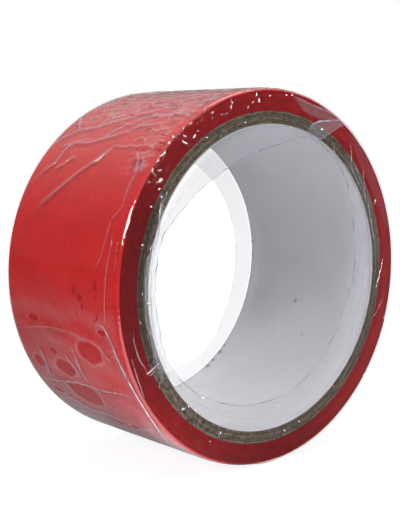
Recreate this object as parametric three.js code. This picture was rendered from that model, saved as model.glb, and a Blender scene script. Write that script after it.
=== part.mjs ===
// A roll of 48 mm duct tape on a spiral-wound paper core, sealed in clear shrink film.
// Millimetres, +Z up. The roll stands on its rim with its axis along Y, and z = 0 is the surface under it.
import * as THREE from "three";

// Driving dimensions
const BORE_RADIUS = 38.1; // a 3 inch core
const LINER_THICKNESS = 0.25;
const PLY_COUNT = 6;
const PLY_THICKNESS = 0.5;
const CORE_WIDTH = 48;
const TAPE_WIDTH = 48;
const TAPE_THICKNESS = 0.16;
const WOUND_TURNS = 32; // the turns under the last one
const FILM_THICKNESS = 0.2;
const FILM_RIM_GAP = 0.17; // from the last turn of tape to the wrinkled film over it
const FILM_SIDE_GAP = 0.15; // from the tape's cut edges to the film over them
const FILM_CORNER_RADIUS = 0.3;
const FILM_CORNER_STEPS = 3;
const LIP_HOLE_RADIUS = 32; // the hole that the film leaves at each end of the bore
const LIP_SAG = 1.2; // how far the loose lip sinks into the bore
const LAYER_GAP = 0.015; // between one layer and the next, all round

// Each ring has the same flat facets, so that the rings nest and the roll rests on a flat.
// Radii are measured to the middle of a facet, which keeps the overall size that of the round roll.
const FACETS = 48;
const FACET_ANGLE = (2 * Math.PI) / FACETS;
const CORNER_SCALE = 1 / Math.cos(FACET_ANGLE / 2);

// The free end of the tape lies low on the right-hand side, on a corner between two facets.
const FREE_END_ANGLE = -2.5 * FACET_ANGLE;
const LAP_START_GAP = 0.05; // as a share of one facet

// Radii that follow from the dimensions above, from the bore outwards
const LINER_OUTER_RADIUS = BORE_RADIUS + LINER_THICKNESS;
const PLY_PITCH = PLY_THICKNESS + LAYER_GAP;
const CORE_OUTER_RADIUS = LINER_OUTER_RADIUS + PLY_COUNT * PLY_PITCH;
const TAPE_INNER_RADIUS = CORE_OUTER_RADIUS + LAYER_GAP;
const WINDING_RADIUS = TAPE_INNER_RADIUS + WOUND_TURNS * TAPE_THICKNESS;
const TAPE_OUTER_RADIUS = WINDING_RADIUS + 2 * TAPE_THICKNESS + LAYER_GAP;
const FILM_INNER_RADIUS = TAPE_OUTER_RADIUS + FILM_RIM_GAP;
const FILM_OUTER_RADIUS = FILM_INNER_RADIUS + FILM_THICKNESS;
const FILM_INNER_FACE = TAPE_WIDTH / 2 + FILM_SIDE_GAP;
const FILM_OUTER_FACE = FILM_INNER_FACE + FILM_THICKNESS;

const red = { color: 0xb82c2a, roughness: 0.3, metalness: 0 };
const greyboard = { color: 0x6e6255, roughness: 0.95, metalness: 0 };
const whitePaper = { color: 0xd6d6de, roughness: 0.8, metalness: 0 };
const clearFilm = { color: 0xf2f2f6, roughness: 0.08, metalness: 0, transparent: true, opacity: 0.2 };

function mesh(name, geometry, look) {
  const made = new THREE.Mesh(geometry, new THREE.MeshStandardMaterial(look));
  made.name = name;
  return made;
}

// Turns a closed outline of [radius, distance along the axis] points about the roll's axis.
function turned(outline) {
  const points = outline.map(([radius, along]) => new THREE.Vector2(radius * CORNER_SCALE, along));
  points.push(points[0].clone());
  return new THREE.LatheGeometry(points, FACETS, FACET_ANGLE / 2);
}

function ring(innerRadius, outerRadius, width) {
  return turned([
    [innerRadius, width / 2],
    [innerRadius, -width / 2],
    [outerRadius, -width / 2],
    [outerRadius, width / 2],
  ]);
}

// The corners of one turn of tape from the free end round to itself, one tape thickness further out.
function spiralCorners(startRadius) {
  const corners = [];
  for (let step = 0; step <= FACETS; step++) {
    const angle = FREE_END_ANGLE + step * FACET_ANGLE;
    const radius = (startRadius + (TAPE_THICKNESS * step) / FACETS) * CORNER_SCALE;
    corners.push(new THREE.Vector2(radius * Math.cos(angle), radius * Math.sin(angle)));
  }
  return corners;
}

function circleCorners(radius) {
  const corners = [];
  for (let step = 0; step < FACETS; step++) {
    const angle = FREE_END_ANGLE + step * FACET_ANGLE;
    const reach = radius * CORNER_SCALE;
    corners.push(new THREE.Vector2(reach * Math.cos(angle), reach * Math.sin(angle)));
  }
  return corners;
}

// Extrudes an outline seen from the front, through the width of the tape.
function acrossTape(shape) {
  const geometry = new THREE.ExtrudeGeometry(shape, { depth: TAPE_WIDTH, bevelEnabled: false });
  geometry.rotateX(Math.PI / 2);
  geometry.translate(0, TAPE_WIDTH / 2, 0);
  return geometry;
}

// The white paper that lines the bore.
function coreLiner() {
  return mesh("core_liner", ring(BORE_RADIUS, LINER_OUTER_RADIUS, CORE_WIDTH), whitePaper);
}

// The greyboard plies glued round the liner, counted outwards.
function corePly(number) {
  const inner = LINER_OUTER_RADIUS + LAYER_GAP + (number - 1) * PLY_PITCH;
  return mesh("core_ply_" + number, ring(inner, inner + PLY_THICKNESS, CORE_WIDTH), greyboard);
}

// Every turn of tape but the last: its outside is one turn of a spiral, with a step where the lap begins.
function tapeWinding() {
  const shape = new THREE.Shape(spiralCorners(WINDING_RADIUS));
  shape.holes.push(new THREE.Path(circleCorners(TAPE_INNER_RADIUS)));
  return mesh("tape_winding", acrossTape(shape), red);
}

// The last turn of tape, which begins against the winding's step and ends on top of its own start.
function tapeLastTurn() {
  const inner = spiralCorners(WINDING_RADIUS + LAYER_GAP);
  const outer = spiralCorners(WINDING_RADIUS + LAYER_GAP + TAPE_THICKNESS);
  inner[0].lerp(inner[1], LAP_START_GAP);
  outer[0].lerp(outer[1], LAP_START_GAP);
  return mesh("tape_last_turn", acrossTape(new THREE.Shape([...inner, ...outer.reverse()])), red);
}

// The film's rounded corner where the rim turns into an end face; side is 1 at the rear and -1 at the front.
function filmCorner(side) {
  const corner = [];
  for (let step = 0; step <= FILM_CORNER_STEPS; step++) {
    const angle = (step / FILM_CORNER_STEPS) * (Math.PI / 2);
    corner.push([
      FILM_OUTER_RADIUS - FILM_CORNER_RADIUS * (1 - Math.cos(angle)),
      side * (FILM_OUTER_FACE - FILM_CORNER_RADIUS * (1 - Math.sin(angle))),
    ]);
  }
  return corner;
}

// One skin of film: over the rim, down both end faces, and on past the core's edge as a loose lip.
function shrinkFilm() {
  const outside = [
    [LIP_HOLE_RADIUS, -(FILM_OUTER_FACE - LIP_SAG)],
    [BORE_RADIUS, -FILM_OUTER_FACE],
    ...filmCorner(-1).reverse(),
    ...filmCorner(1),
    [BORE_RADIUS, FILM_OUTER_FACE],
    [LIP_HOLE_RADIUS, FILM_OUTER_FACE - LIP_SAG],
  ];
  const inside = [
    [LIP_HOLE_RADIUS, FILM_INNER_FACE - LIP_SAG],
    [BORE_RADIUS, FILM_INNER_FACE],
    [FILM_INNER_RADIUS, FILM_INNER_FACE],
    [FILM_INNER_RADIUS, -FILM_INNER_FACE],
    [BORE_RADIUS, -FILM_INNER_FACE],
    [LIP_HOLE_RADIUS, -(FILM_INNER_FACE - LIP_SAG)],
  ];
  return mesh("shrink_film", turned([...outside, ...inside]), clearFilm);
}

const group = new THREE.Group();
group.name = "duct_tape_roll";
group.position.z = FILM_OUTER_RADIUS;
group.add(coreLiner());
for (let number = 1; number <= PLY_COUNT; number++) {
  group.add(corePly(number));
}
group.add(tapeWinding());
group.add(tapeLastTurn());
group.add(shrinkFilm());

export default group;
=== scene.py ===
"""A roll of glossy red duct tape on a spiral-wound paper core, sealed in clear shrink film.

The roll's axis runs along Y. Round it, a point is given by its angle in degrees (0 at +X, 90 at the top),
its radius and its distance along the axis, which is negative at the front. Relief is in millimetres.
"""

import math
from functools import partial, partialmethod

import bmesh
import bpy
import numpy as np
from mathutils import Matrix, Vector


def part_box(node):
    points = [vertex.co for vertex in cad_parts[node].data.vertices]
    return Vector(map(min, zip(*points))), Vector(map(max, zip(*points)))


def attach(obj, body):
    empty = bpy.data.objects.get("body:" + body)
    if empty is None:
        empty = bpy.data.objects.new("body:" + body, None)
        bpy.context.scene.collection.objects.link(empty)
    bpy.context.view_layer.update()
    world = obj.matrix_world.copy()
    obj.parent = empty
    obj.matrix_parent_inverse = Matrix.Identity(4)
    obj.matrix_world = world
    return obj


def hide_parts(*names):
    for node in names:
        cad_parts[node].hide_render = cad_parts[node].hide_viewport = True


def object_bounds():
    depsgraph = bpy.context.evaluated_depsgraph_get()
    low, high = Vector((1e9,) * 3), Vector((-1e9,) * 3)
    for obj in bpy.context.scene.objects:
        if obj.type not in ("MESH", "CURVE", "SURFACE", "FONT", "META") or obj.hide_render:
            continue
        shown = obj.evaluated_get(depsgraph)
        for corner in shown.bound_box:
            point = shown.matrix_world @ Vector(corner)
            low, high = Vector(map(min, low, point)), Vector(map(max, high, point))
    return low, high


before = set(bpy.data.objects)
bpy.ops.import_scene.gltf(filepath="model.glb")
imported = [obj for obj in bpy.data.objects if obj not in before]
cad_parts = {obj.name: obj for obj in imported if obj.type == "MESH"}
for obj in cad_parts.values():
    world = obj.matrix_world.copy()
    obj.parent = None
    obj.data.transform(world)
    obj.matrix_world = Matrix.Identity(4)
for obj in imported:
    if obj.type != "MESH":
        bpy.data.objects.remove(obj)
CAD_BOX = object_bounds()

MM = 0.001
FRONT, REAR = -1, 1  # the sign of the distance along the axis at each end


# ---- sizes, from the frame

def outer_radius(name):
    low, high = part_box(name)
    return (high.x - low.x) / 2 / MM


def half_length(name):
    """Half of a CAD part's length along the roll's axis."""
    low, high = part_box(name)
    return (high.y - low.y) / 2 / MM


AXIS_HEIGHT = (CAD_BOX[0].z + CAD_BOX[1].z) / 2
LINER_THICKNESS = 0.25
LINER_OUTER = outer_radius("core_liner")
BORE = LINER_OUTER - LINER_THICKNESS
PLY_NODES = sorted(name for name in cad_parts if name.startswith("core_ply_"))
PLY_THICKNESS = 0.5
CORE_OUTER = outer_radius(PLY_NODES[-1])
CORE_HALF = half_length("core_liner")
TAPE_HALF = half_length("tape_winding")
TAPE_THICKNESS = 0.16
TAPE_SIDE_GAP = 0.03  # the wound tape and its last turn keep this far inside the CAD tape's width
FILM_OUTER = outer_radius("shrink_film")
FILM_HALF = half_length("shrink_film")
FILM_STAND_OFF = 0.37  # from the last turn of tape to the outside of the CAD's film
TAPE_OUTER = FILM_OUTER - FILM_STAND_OFF  # over the last turn, where its free end lies
TURNS = 33
FREE_END = -18.75  # the angle of the tape's free end
TAPE_ROUND = 1.1  # radius of the wound tape's outer edges
TAPE_CURL = 62  # degrees that the last turn's edges curl over that corner
CORE_GAP = 0.02  # between the core and the first turn
LAP_GAP = 0.015  # between the winding and its last turn
LAP_MARGIN = 0.003  # the last turn keeps this far inside the tape's outside


# ---- noise

def smooth(t):
    return t * t * (3 - 2 * t)


def step_up(value, low, high):
    return smooth(np.clip((value - low) / (high - low), 0, 1))


def zone(angle, start, full, end, gone):
    """1 from full to end degrees, fading in from start and out to gone."""
    turned = angle % 360
    return step_up(turned, start, full) * (1 - step_up(turned, end, gone))


def noise(u, v, seed, period=None):
    """Gradient noise from about -1 to 1. It repeats every period along u, if one is given."""
    rng = np.random.default_rng(seed)
    size = 256
    turn = rng.uniform(0, 2 * math.pi, (size, size))
    gx, gy = np.cos(turn), np.sin(turn)
    iu, iv = np.floor(u).astype(int), np.floor(v).astype(int)
    fu, fv = u - iu, v - iv
    total = 0
    for du in (0, 1):
        for dv in (0, 1):
            ku = iu + du
            if period:
                ku = ku % period
            a, b = ku % size, (iv + dv) % size
            dot = gx[a, b] * (fu - du) + gy[a, b] * (fv - dv)
            weight = (smooth(fu) if du else 1 - smooth(fu)) * (smooth(fv) if dv else 1 - smooth(fv))
            total = total + dot * weight
    return total * 1.5


def ridged(u, v, seed, period=None, sharp=1.0):
    """Noise folded into thin creases, 1 on a crease and 0 between them."""
    return np.clip(1 - np.abs(noise(u, v, seed, period)) * 2.2, 0, 1) ** sharp


def crumple(u, v, seed, folds=7):
    """Flat facets that meet at sharp folds, from 0 to 1."""
    rng = np.random.default_rng(seed)
    warp_u = noise(u * 0.7, v * 0.7, seed + 1) * 0.6
    warp_v = noise(u * 0.7, v * 0.7, seed + 2) * 0.6
    total = 0
    for _ in range(folds):
        direction, shift = rng.uniform(0, math.pi), rng.uniform(0, 1)
        scale = rng.uniform(0.5, 1.3)
        along = ((u + warp_u) * math.cos(direction) + (v + warp_v) * math.sin(direction)) * scale + shift
        total = total + np.abs(along - np.round(along)) * 2 / scale
    return total / folds


def curve(t, p0, p1, p2, p3):
    """A smooth curve from p1 at t = 0 to p2 at t = 1, which looks to p0 and p3 for its direction."""
    return p1 + 0.5 * t * (p2 - p0 + t * (2 * p0 - 5 * p1 + 4 * p2 - p3 + t * (3 * (p1 - p2) + p3 - p0)))


# ---- meshes

def ring_of_angles(columns):
    """Evenly spaced angles round the roll, as one row."""
    return np.linspace(0, 360, columns, endpoint=False)[None, :]


def polar(angle, radius, along):
    """Points in the frame, in metres, from arrays of degrees and millimetres."""
    turn = np.radians(angle)
    x = radius * np.cos(turn)
    z = radius * np.sin(turn)
    y = np.broadcast_to(along, x.shape)
    return np.stack([x * MM, y * MM, z * MM + AXIS_HEIGHT], axis=-1)


def on_end(angle, radius):
    """The same place on an end face, as (x, z) from the axis in millimetres."""
    return radius * math.cos(math.radians(angle)), radius * math.sin(math.radians(angle))


def outward(points, faces):
    """True if most of the faces look away from the roll's centre."""
    corner = [points[faces[:, k]] for k in range(4)]
    normal = np.cross(corner[2] - corner[0], corner[3] - corner[1])
    middle = sum(corner) / 4 - np.array([0, 0, AXIS_HEIGHT])
    return (normal * middle).sum() > 0


def grid_faces(points, close_rows, close_columns):
    """Quads over an array of points [row, column, xyz], joined end to end where asked."""
    rows, columns = points.shape[:2]
    index = np.arange(rows * columns).reshape(rows, columns)
    down = np.arange(rows if close_rows else rows - 1)
    across = np.arange(columns if close_columns else columns - 1)
    a = index[np.ix_(down, across)]
    b = index[np.ix_(down, (across + 1) % columns)]
    c = index[np.ix_((down + 1) % rows, (across + 1) % columns)]
    d = index[np.ix_((down + 1) % rows, across)]
    faces = np.stack([a, b, c, d], axis=-1).reshape(-1, 4)
    return faces if outward(points.reshape(-1, 3), faces) else faces[:, ::-1]


def mesh_piece(name, grids):
    """One object from grids of points: (points, close rows, close columns, {attribute: values})."""
    coordinates, quads, layers = [], [], {}
    start = 0
    for points, close_rows, close_columns, values in grids:
        coordinates.append(points.reshape(-1, 3))
        quads.append(grid_faces(points, close_rows, close_columns) + start)
        start += points.shape[0] * points.shape[1]
        for key, value in values.items():
            layers.setdefault(key, []).append(np.broadcast_to(value, points.shape[:2]).reshape(-1))
    mesh = bpy.data.meshes.new(name)
    mesh.from_pydata(np.concatenate(coordinates), [], np.concatenate(quads).tolist())
    mesh.validate()
    mesh.shade_smooth()
    for key, values in layers.items():
        layer = mesh.attributes.new(key, "FLOAT", "POINT")
        layer.data.foreach_set("value", np.concatenate(values).astype(np.float32))
    made = bpy.data.objects.new(name, mesh)
    bpy.context.scene.collection.objects.link(made)
    return made


def add_faces(piece, loops, upwards=False):
    """Closes holes with faces through the given corner numbers, and turns every face outwards."""
    made = bmesh.new()
    made.from_mesh(piece.data)
    made.verts.ensure_lookup_table()
    for corners in loops:
        made.faces.new([made.verts[c] for c in corners])
    bmesh.ops.recalc_face_normals(made, faces=made.faces)
    if upwards and made.faces[-1].normal.z < 0:
        bmesh.ops.reverse_faces(made, faces=made.faces)
    made.to_mesh(piece.data)
    made.free()
    piece.data.shade_smooth()


def place(piece, material, slot, *nodes):
    piece.data.materials.append(material)
    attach(piece, "root")
    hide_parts(*nodes)


# ---- materials

class Value:
    """An output of a node. Arithmetic on it adds the Math node that does the same."""

    def __init__(self, nodes, socket):
        self.nodes, self.socket = nodes, socket

    def math(self, operation, other=0.0):
        return self.nodes.add("ShaderNodeMath", {0: self, 1: other}, operation=operation)

    __add__ = partialmethod(math, "ADD")
    __sub__ = partialmethod(math, "SUBTRACT")
    __mul__ = partialmethod(math, "MULTIPLY")
    __truediv__ = partialmethod(math, "DIVIDE")
    __pow__ = partialmethod(math, "POWER")
    __abs__ = partialmethod(math, "ABSOLUTE")

    def ramp(self, low, high):
        """0 at low and beyond it, 1 at high and beyond it."""
        return self.nodes.add("ShaderNodeMapRange", {"Value": self, "From Min": low, "From Max": high})


class Nodes:
    """The node tree of a material or a world."""

    def __init__(self, owner, output="ShaderNodeOutputMaterial"):
        owner.use_nodes = True
        self.owner, self.tree = owner, owner.node_tree
        self.tree.nodes.clear()
        self.output = self.tree.nodes.new(output)

    def node(self, kind, inputs, settings):
        made = self.tree.nodes.new(kind)
        for key, value in settings.items():
            setattr(made, key, value)
        for key, value in inputs.items():
            socket = made.inputs[key]
            if isinstance(value, Value):
                self.tree.links.new(value.socket, socket)
            else:
                socket.default_value = (*value, 1) if socket.type == "RGBA" else value
        return made

    def add(self, kind, inputs=None, output=0, **settings):
        return Value(self, self.node(kind, inputs or {}, settings).outputs[output])

    def attribute(self, name):
        return self.add("ShaderNodeAttribute", output="Fac", attribute_name=name)

    def position(self, kind="Object"):
        return self.add("ShaderNodeTexCoord", output=kind)

    def split(self, vector):
        return [Value(self, socket) for socket in self.node("ShaderNodeSeparateXYZ", {0: vector}, {}).outputs]

    def layered(self, colour, *layers):
        """A colour with others laid over it in turn, each given as (share, colour)."""
        for share, over in layers:
            colour = self.add("ShaderNodeMix", {0: share, 6: colour, 7: over}, 2, data_type="RGBA")
        return colour

    def mix_shader(self, factor, a, b):
        return self.add("ShaderNodeMixShader", {0: factor, 1: a, 2: b})

    def noise(self, vector, scale, detail, distortion=0.0):
        return self.add("ShaderNodeTexNoise", {
            "Vector": vector, "Scale": scale, "Detail": detail, "Distortion": distortion})

    def roll_noise(self, around, along, outwards, detail, distortion=0.0):
        """Noise laid round the roll, with so many grains to a millimetre in each direction."""
        x, y, z = self.split(self.position())
        height = z - AXIS_HEIGHT
        radius = (abs(x) ** 2.0 + abs(height) ** 2.0).math("SQRT")
        rolled = self.add("ShaderNodeCombineXYZ", {
            0: x.math("ARCTAN2", height) * (CORE_OUTER * around),
            1: y * (along / MM),
            2: radius * (outwards / MM),
        })
        return self.noise(rolled, 1.0, detail, distortion)

    def bump(self, height, distance, strength):
        return self.add("ShaderNodeBump", {"Height": height, "Distance": distance, "Strength": strength})

    def finish(self, shader):
        self.tree.links.new(shader.socket, self.output.inputs[0])
        return self.owner

    def surface(self, colour, roughness, normal, gloss, ior=1.5):
        return self.finish(self.add("ShaderNodeBsdfPrincipled", {
            "Base Color": colour, "Roughness": roughness, "Normal": normal, "Specular IOR Level": gloss,
            "IOR": ior}))

    def seen_apart(self, unseen, seen):
        """Ends the tree with one shader for what the camera sees and another for every other ray."""
        camera_ray = self.add("ShaderNodeLightPath", output="Is Camera Ray")
        return self.finish(self.mix_shader(camera_ray, unseen, seen))


WHITE = (1, 1, 1)
TAPE_IOR = 1.45


def tape_material():
    """Glossy plastic tape: faint mottling and a little scuff in the gloss."""
    nodes = Nodes(bpy.data.materials.new("red_tape"))
    mottle = nodes.roll_noise(0.15, 0.08, 0.0, 4.0)
    scuff = nodes.roll_noise(0.9, 0.6, 0.0, 3.0).ramp(0.3, 0.8)
    colour = nodes.layered((0.56, 0.012, 0.012), (mottle.ramp(0.3, 0.7), (0.64, 0.017, 0.016)))
    return nodes.surface(colour, scuff * 0.10 + 0.24, nodes.bump(mottle, 0.00003, 0.4), 0.1, TAPE_IOR)


def tape_edge_material():
    """The cut edges of the wound tape: fine rings, with the backing brighter than the adhesive between."""
    nodes = Nodes(bpy.data.materials.new("red_tape_edges"))
    rings = nodes.roll_noise(0.03, 0.0, 7.0, 2.0)
    mottle = nodes.roll_noise(0.35, 0.0, 0.5, 4.0)
    colour = nodes.layered(
        (0.34, 0.006, 0.008),
        (rings.ramp(0.35, 0.65), (0.49, 0.010, 0.013)),
        (mottle.ramp(0.35, 0.75), (0.56, 0.014, 0.017)),
        # painted shade: the cut edges darker towards the left, lighter on the right
        (nodes.attribute("deep"), (0.13, 0.002, 0.004)),
    )
    return nodes.surface(colour, 0.45, nodes.bump(rings, 0.00005, 0.4), 0.06, TAPE_IOR)


def board_material(name, base, fleck):
    """Greyboard: layered grey and brown pulp, with dark and light flecks."""
    nodes = Nodes(bpy.data.materials.new(name))
    layers = nodes.roll_noise(0.35, 0.3, 3.2, 4.0, 0.6)
    pulp = nodes.roll_noise(1.6, 1.2, 2.4, 4.0)
    speck = nodes.roll_noise(2.6, 2.6, 3.4, 1.0)
    colour = nodes.layered(
        base,
        (layers.ramp(0.40, 0.60), fleck),
        (pulp.ramp(0.50, 0.72), (0.040, 0.030, 0.020)),
        (speck.ramp(0.68, 0.76), (0.42, 0.37, 0.28)),
        # painted shade on the left of the front end, with the board's own darker blotches on the lower left
        (nodes.attribute("stain"), (0.030, 0.024, 0.018)),
    )
    return nodes.surface(colour, 0.95, nodes.bump(layers + pulp, 0.00015, 0.8), 0.1)


def paper_material():
    """The white liner: smooth paper with faint formation, a few dark flecks, and its helical butt seam."""
    nodes = Nodes(bpy.data.materials.new("liner_paper"))
    formation = nodes.noise(nodes.position(), 120.0, 4.0)
    grain = nodes.noise(nodes.position(), 1800.0, 3.0)
    colour = nodes.layered(
        (0.83, 0.825, 0.86),
        (formation.ramp(0.25, 0.75), (0.885, 0.88, 0.91)),
        (abs(nodes.attribute("from_seam")).ramp(SEAM_WIDTH, 0.1) * 0.45, (0.96, 0.96, 0.98)),
        (nodes.attribute("fleck"), (0.10, 0.09, 0.10)),
    )
    return nodes.surface(colour, 0.7, nodes.bump(grain, 0.00004, 0.5), 0.3)


def film_material():
    """Clear film: it mirrors by Fresnel from both its faces, and is a little hazy where it stands off."""
    nodes = Nodes(bpy.data.materials.new("clear_film"))
    normal = nodes.bump(nodes.roll_noise(0.8, 0.35, 0.8, 3.0), 0.00003, 0.12)
    facing = nodes.add("ShaderNodeLayerWeight", {"Blend": 0.5, "Normal": normal}, "Facing")
    fresnel = facing ** 5.0 * 0.96 + 0.04
    # Light turned back at the second face: the film's two faces together mirror 2F / (1 + F) of it.
    both = fresnel * 2.0 / (fresnel + 1.0)
    mirror = nodes.add("ShaderNodeMix", {0: nodes.attribute("lift"), 2: fresnel, 3: both}, data_type="FLOAT")
    # the edge attribute dims what shows through: the hem's dark line, the loose rear lip, the clinging
    # patches, and painted shade beside the rim's creases and in its dark streaks
    shade = nodes.layered((0.985, 0.985, 0.99), (nodes.attribute("edge"), (0.62, 0.62, 0.70)))
    clear = nodes.add("ShaderNodeBsdfTransparent", {"Color": shade})
    cloud = nodes.add("ShaderNodeBsdfDiffuse", {"Color": (0.86, 0.86, 0.95)})
    body = nodes.mix_shader(nodes.attribute("haze"), clear, cloud)
    gloss = nodes.add("ShaderNodeBsdfAnisotropic", {"Color": WHITE, "Roughness": 0.05, "Normal": normal})
    return nodes.finish(nodes.mix_shader(mirror, body, gloss))


def near(right, behind, x, x_gone, x_full, y, y_gone, y_full):
    """1 within so many metres of (x, y) on the floor, fading out to 0 further off."""
    return abs(right - x).ramp(x_gone, x_full) * abs(behind - y).ramp(y_gone, y_full)


def floor_material():
    """Card that glows in front on the left and far behind. The camera sees it lifted to near white."""
    nodes = Nodes(bpy.data.materials.new("studio_floor"))
    where = nodes.position()
    right, behind, _ = nodes.split(where)
    left_front = near(right, behind, -0.10, 0.09, 0.06, -0.06, 0.065, 0.035)
    near_left = near(right, behind, -0.035, 0.045, 0.03, 0.0, 0.08, 0.05)
    near_front = behind.ramp(-0.30, -0.12) * behind.ramp(0.03, -0.03)
    to_right = right + behind * 0.35
    back = to_right.ramp(-0.05, 0.08) * behind.ramp(0.02, 0.05)
    far = to_right.ramp(-0.05, 0.15) * behind.ramp(0.06, 0.35)
    glow = left_front * 1.6 + 0.04 + near_left * 0.13 + near_front * 0.06 + back * 0.20 + far * 0.35
    card = nodes.add("ShaderNodeBsdfDiffuse", {"Color": (0.12, 0.12, 0.12)})
    light = nodes.add("ShaderNodeEmission", {"Color": (0.97, 0.95, 1.0), "Strength": glow})
    unseen = nodes.add("ShaderNodeAddShader", {0: card, 1: light})
    pale = nodes.layered((0.24, 0.24, 0.24), (nodes.noise(where, 40.0, 2.0), (0.26, 0.26, 0.26)))
    shadow = nodes.add("ShaderNodeBsdfDiffuse", {"Color": pale})
    away = nodes.add("ShaderNodeVectorMath", {0: where}, "Value", operation="LENGTH")
    lifting = away.ramp(0.15, 0.50) * 0.04 + 0.88
    white = nodes.add("ShaderNodeEmission", {"Color": WHITE, "Strength": lifting})
    return nodes.seen_apart(unseen, nodes.add("ShaderNodeAddShader", {0: shadow, 1: white}))


# ---- the core

def ring_of_profile(name, profile, columns, relief, attributes):
    """A closed ring from an outline of [radius, along] points; relief(angle, radius, along) moves them."""
    profile = np.array(profile, float)
    angle = ring_of_angles(columns).repeat(len(profile), 0)
    radius, along = relief(angle, profile[:, :1].repeat(columns, 1), profile[:, 1:].repeat(columns, 1))
    return mesh_piece(name, [(polar(angle, radius, along), True, True, attributes(angle, radius, along))])


def wall_outline(inner, outer, half, rows, end_rows):
    """The outline of a tube's wall: out along the front end, back along the outside, in, and home."""
    outline = [[r, -half] for r in np.linspace(inner, outer, end_rows, endpoint=False)]
    outline += [[outer, y] for y in np.linspace(-half, half, rows, endpoint=False)]
    outline += [[r, half] for r in np.linspace(outer, inner, end_rows, endpoint=False)]
    outline += [[inner, y] for y in np.linspace(half, -half, rows, endpoint=False)]
    return outline


SEAM_TURN = -75 / 24  # degrees per millimetre: the liner's seam crosses the angle 0 at the front
SEAM_WIDTH = 0.5

# Dark flecks on the liner: (angle, along, size)
FLECKS = [(-19, 3, 0.5), (-33, -4, 0.35), (-59, 22.9, 0.8), (-55, 23.1, 0.7), (-50, 23.2, 0.9),
          (-46, 23.3, 0.5), (5, 23.6, 0.5), (23, 23.7, 0.35), (-1, 23.6, 0.4), (118, -12, 0.4), (203, 8, 0.4)]


def across_bore(angle):
    """An angle from -180 to 180 degrees as a distance round the bore, in millimetres."""
    return ((angle + 180) % 360 - 180) * math.pi / 180 * BORE


def liner_marks(angle, radius, along):
    from_seam = np.clip(across_bore(angle - SEAM_TURN * (along + CORE_HALF)), -4, 4)
    fleck = np.zeros_like(angle)
    for where, y, size in FLECKS:
        off = across_bore(angle - where)
        fleck = np.maximum(fleck, np.exp(-((off / size) ** 2 + ((along - y) / size) ** 2) * 1.5))
    return {"from_seam": from_seam, "fleck": fleck * 0.8}


def sunk(along, start, full, depth):
    """Distances along the axis, drawn in by depth at both ends from start to full."""
    return along - np.sign(along) * step_up(np.abs(along), start, full) * depth


def liner_relief(angle, radius, along):
    ragged = 0.10 * noise(angle / 4, along * 0 + 3, 11, 90)
    ragged = ragged + 0.05 * noise(angle / 1.25, along * 0 + 7, 12, 288)
    along = sunk(along, CORE_HALF - 0.6, CORE_HALF, 0.12 + ragged)
    inside = np.clip((LINER_OUTER - radius) / LINER_THICKNESS, 0, 1)
    radius = radius + inside * 0.03 * (noise(angle / 7.5, along / 9, 13, 48) + 1)
    return radius, along


def board_shade_and_blotches(angle, radius, along):
    """How dark the board is: painted shade on the outer plies at the left of its front end, and darker
    blotches of its own in the pulp on the lower left.
    """
    at_front = step_up(-along, CORE_HALF - 1.5, CORE_HALF - 0.5)
    # painted shade: the outer plies darkened at the left of the front end
    left = zone(angle, 142, 156, 196, 212) * step_up(radius, 39.0, 40.2) * 0.65
    blotch = step_up(noise(angle / 1.6, radius / 0.9, 31, 225), 0.0, 0.5)
    blotch = blotch * (0.25 + 0.45 * zone(angle, 196, 212, 240, 262))
    return {"stain": at_front * np.clip(left + blotch, 0, 0.85)}


def board_relief(angle, radius, along, inner, outer, seed):
    """A ply's cut ends are rounded over and ragged."""
    middle = np.clip(1 - np.abs((radius - inner) / (outer - inner) * 2 - 1), 0, 1)
    cut = 0.07 * noise(angle / 2.5, radius * 3, seed, 144)
    cut = cut + 0.05 * noise(angle / 0.9, radius * 6, seed + 1, 400)
    return radius, sunk(along, CORE_HALF - 0.4, CORE_HALF, 0.16 - 0.10 * middle + cut)


LINER_COLUMNS, PLY_COLUMNS, WINDING_COLUMNS, LAP_COLUMNS = 512, 720, 450, 720
GREYS = [(0.170, 0.136, 0.098), (0.135, 0.107, 0.075), (0.205, 0.166, 0.124)]  # the plies' boards, in turn


def make_core():
    outline = wall_outline(BORE, LINER_OUTER, CORE_HALF, rows=64, end_rows=2)
    liner = ring_of_profile("liner_paper", outline, LINER_COLUMNS, liner_relief, liner_marks)
    place(liner, paper_material(), "liner_paper", "core_liner")
    for count, name in enumerate(PLY_NODES):
        outer = outer_radius(name)
        inner = outer - PLY_THICKNESS
        base = GREYS[count % len(GREYS)]
        light = tuple(c * 1.75 for c in base)
        relief = partial(board_relief, inner=inner, outer=outer, seed=40 + 10 * count)
        outline = wall_outline(inner, outer, CORE_HALF, rows=6, end_rows=5)
        number = str(count + 1)
        ply = ring_of_profile("greyboard_ply_" + number, outline, PLY_COLUMNS, relief, board_shade_and_blotches)
        place(ply, board_material("greyboard_" + number, base, light), "greyboard", name)


# ---- the tape

def spiral_rise(angle):
    """How far the wound surface has grown since the free end, as a share of one tape thickness."""
    return ((angle - FREE_END) % 360) / 360


# Painted shade on the tape's cut edges, as (angle, share of dark red): none on the right and deepest on the
# left
EDGE_PAINTED_SHADE = [(0, 0), (60, 0), (95, 0.28), (135, 0.42), (158, 0.79), (196, 0.79), (222, 0.47), (285, 0.47),
              (305, 0.05), (360, 0)]


def edge_painted_shade(angle, radius, along):
    shade = np.interp(angle % 360, *zip(*EDGE_PAINTED_SHADE))
    return {"deep": np.clip(shade + 0.08 * noise(angle / 4, radius / 1.5, 23, 90), 0, 1)}


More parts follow.
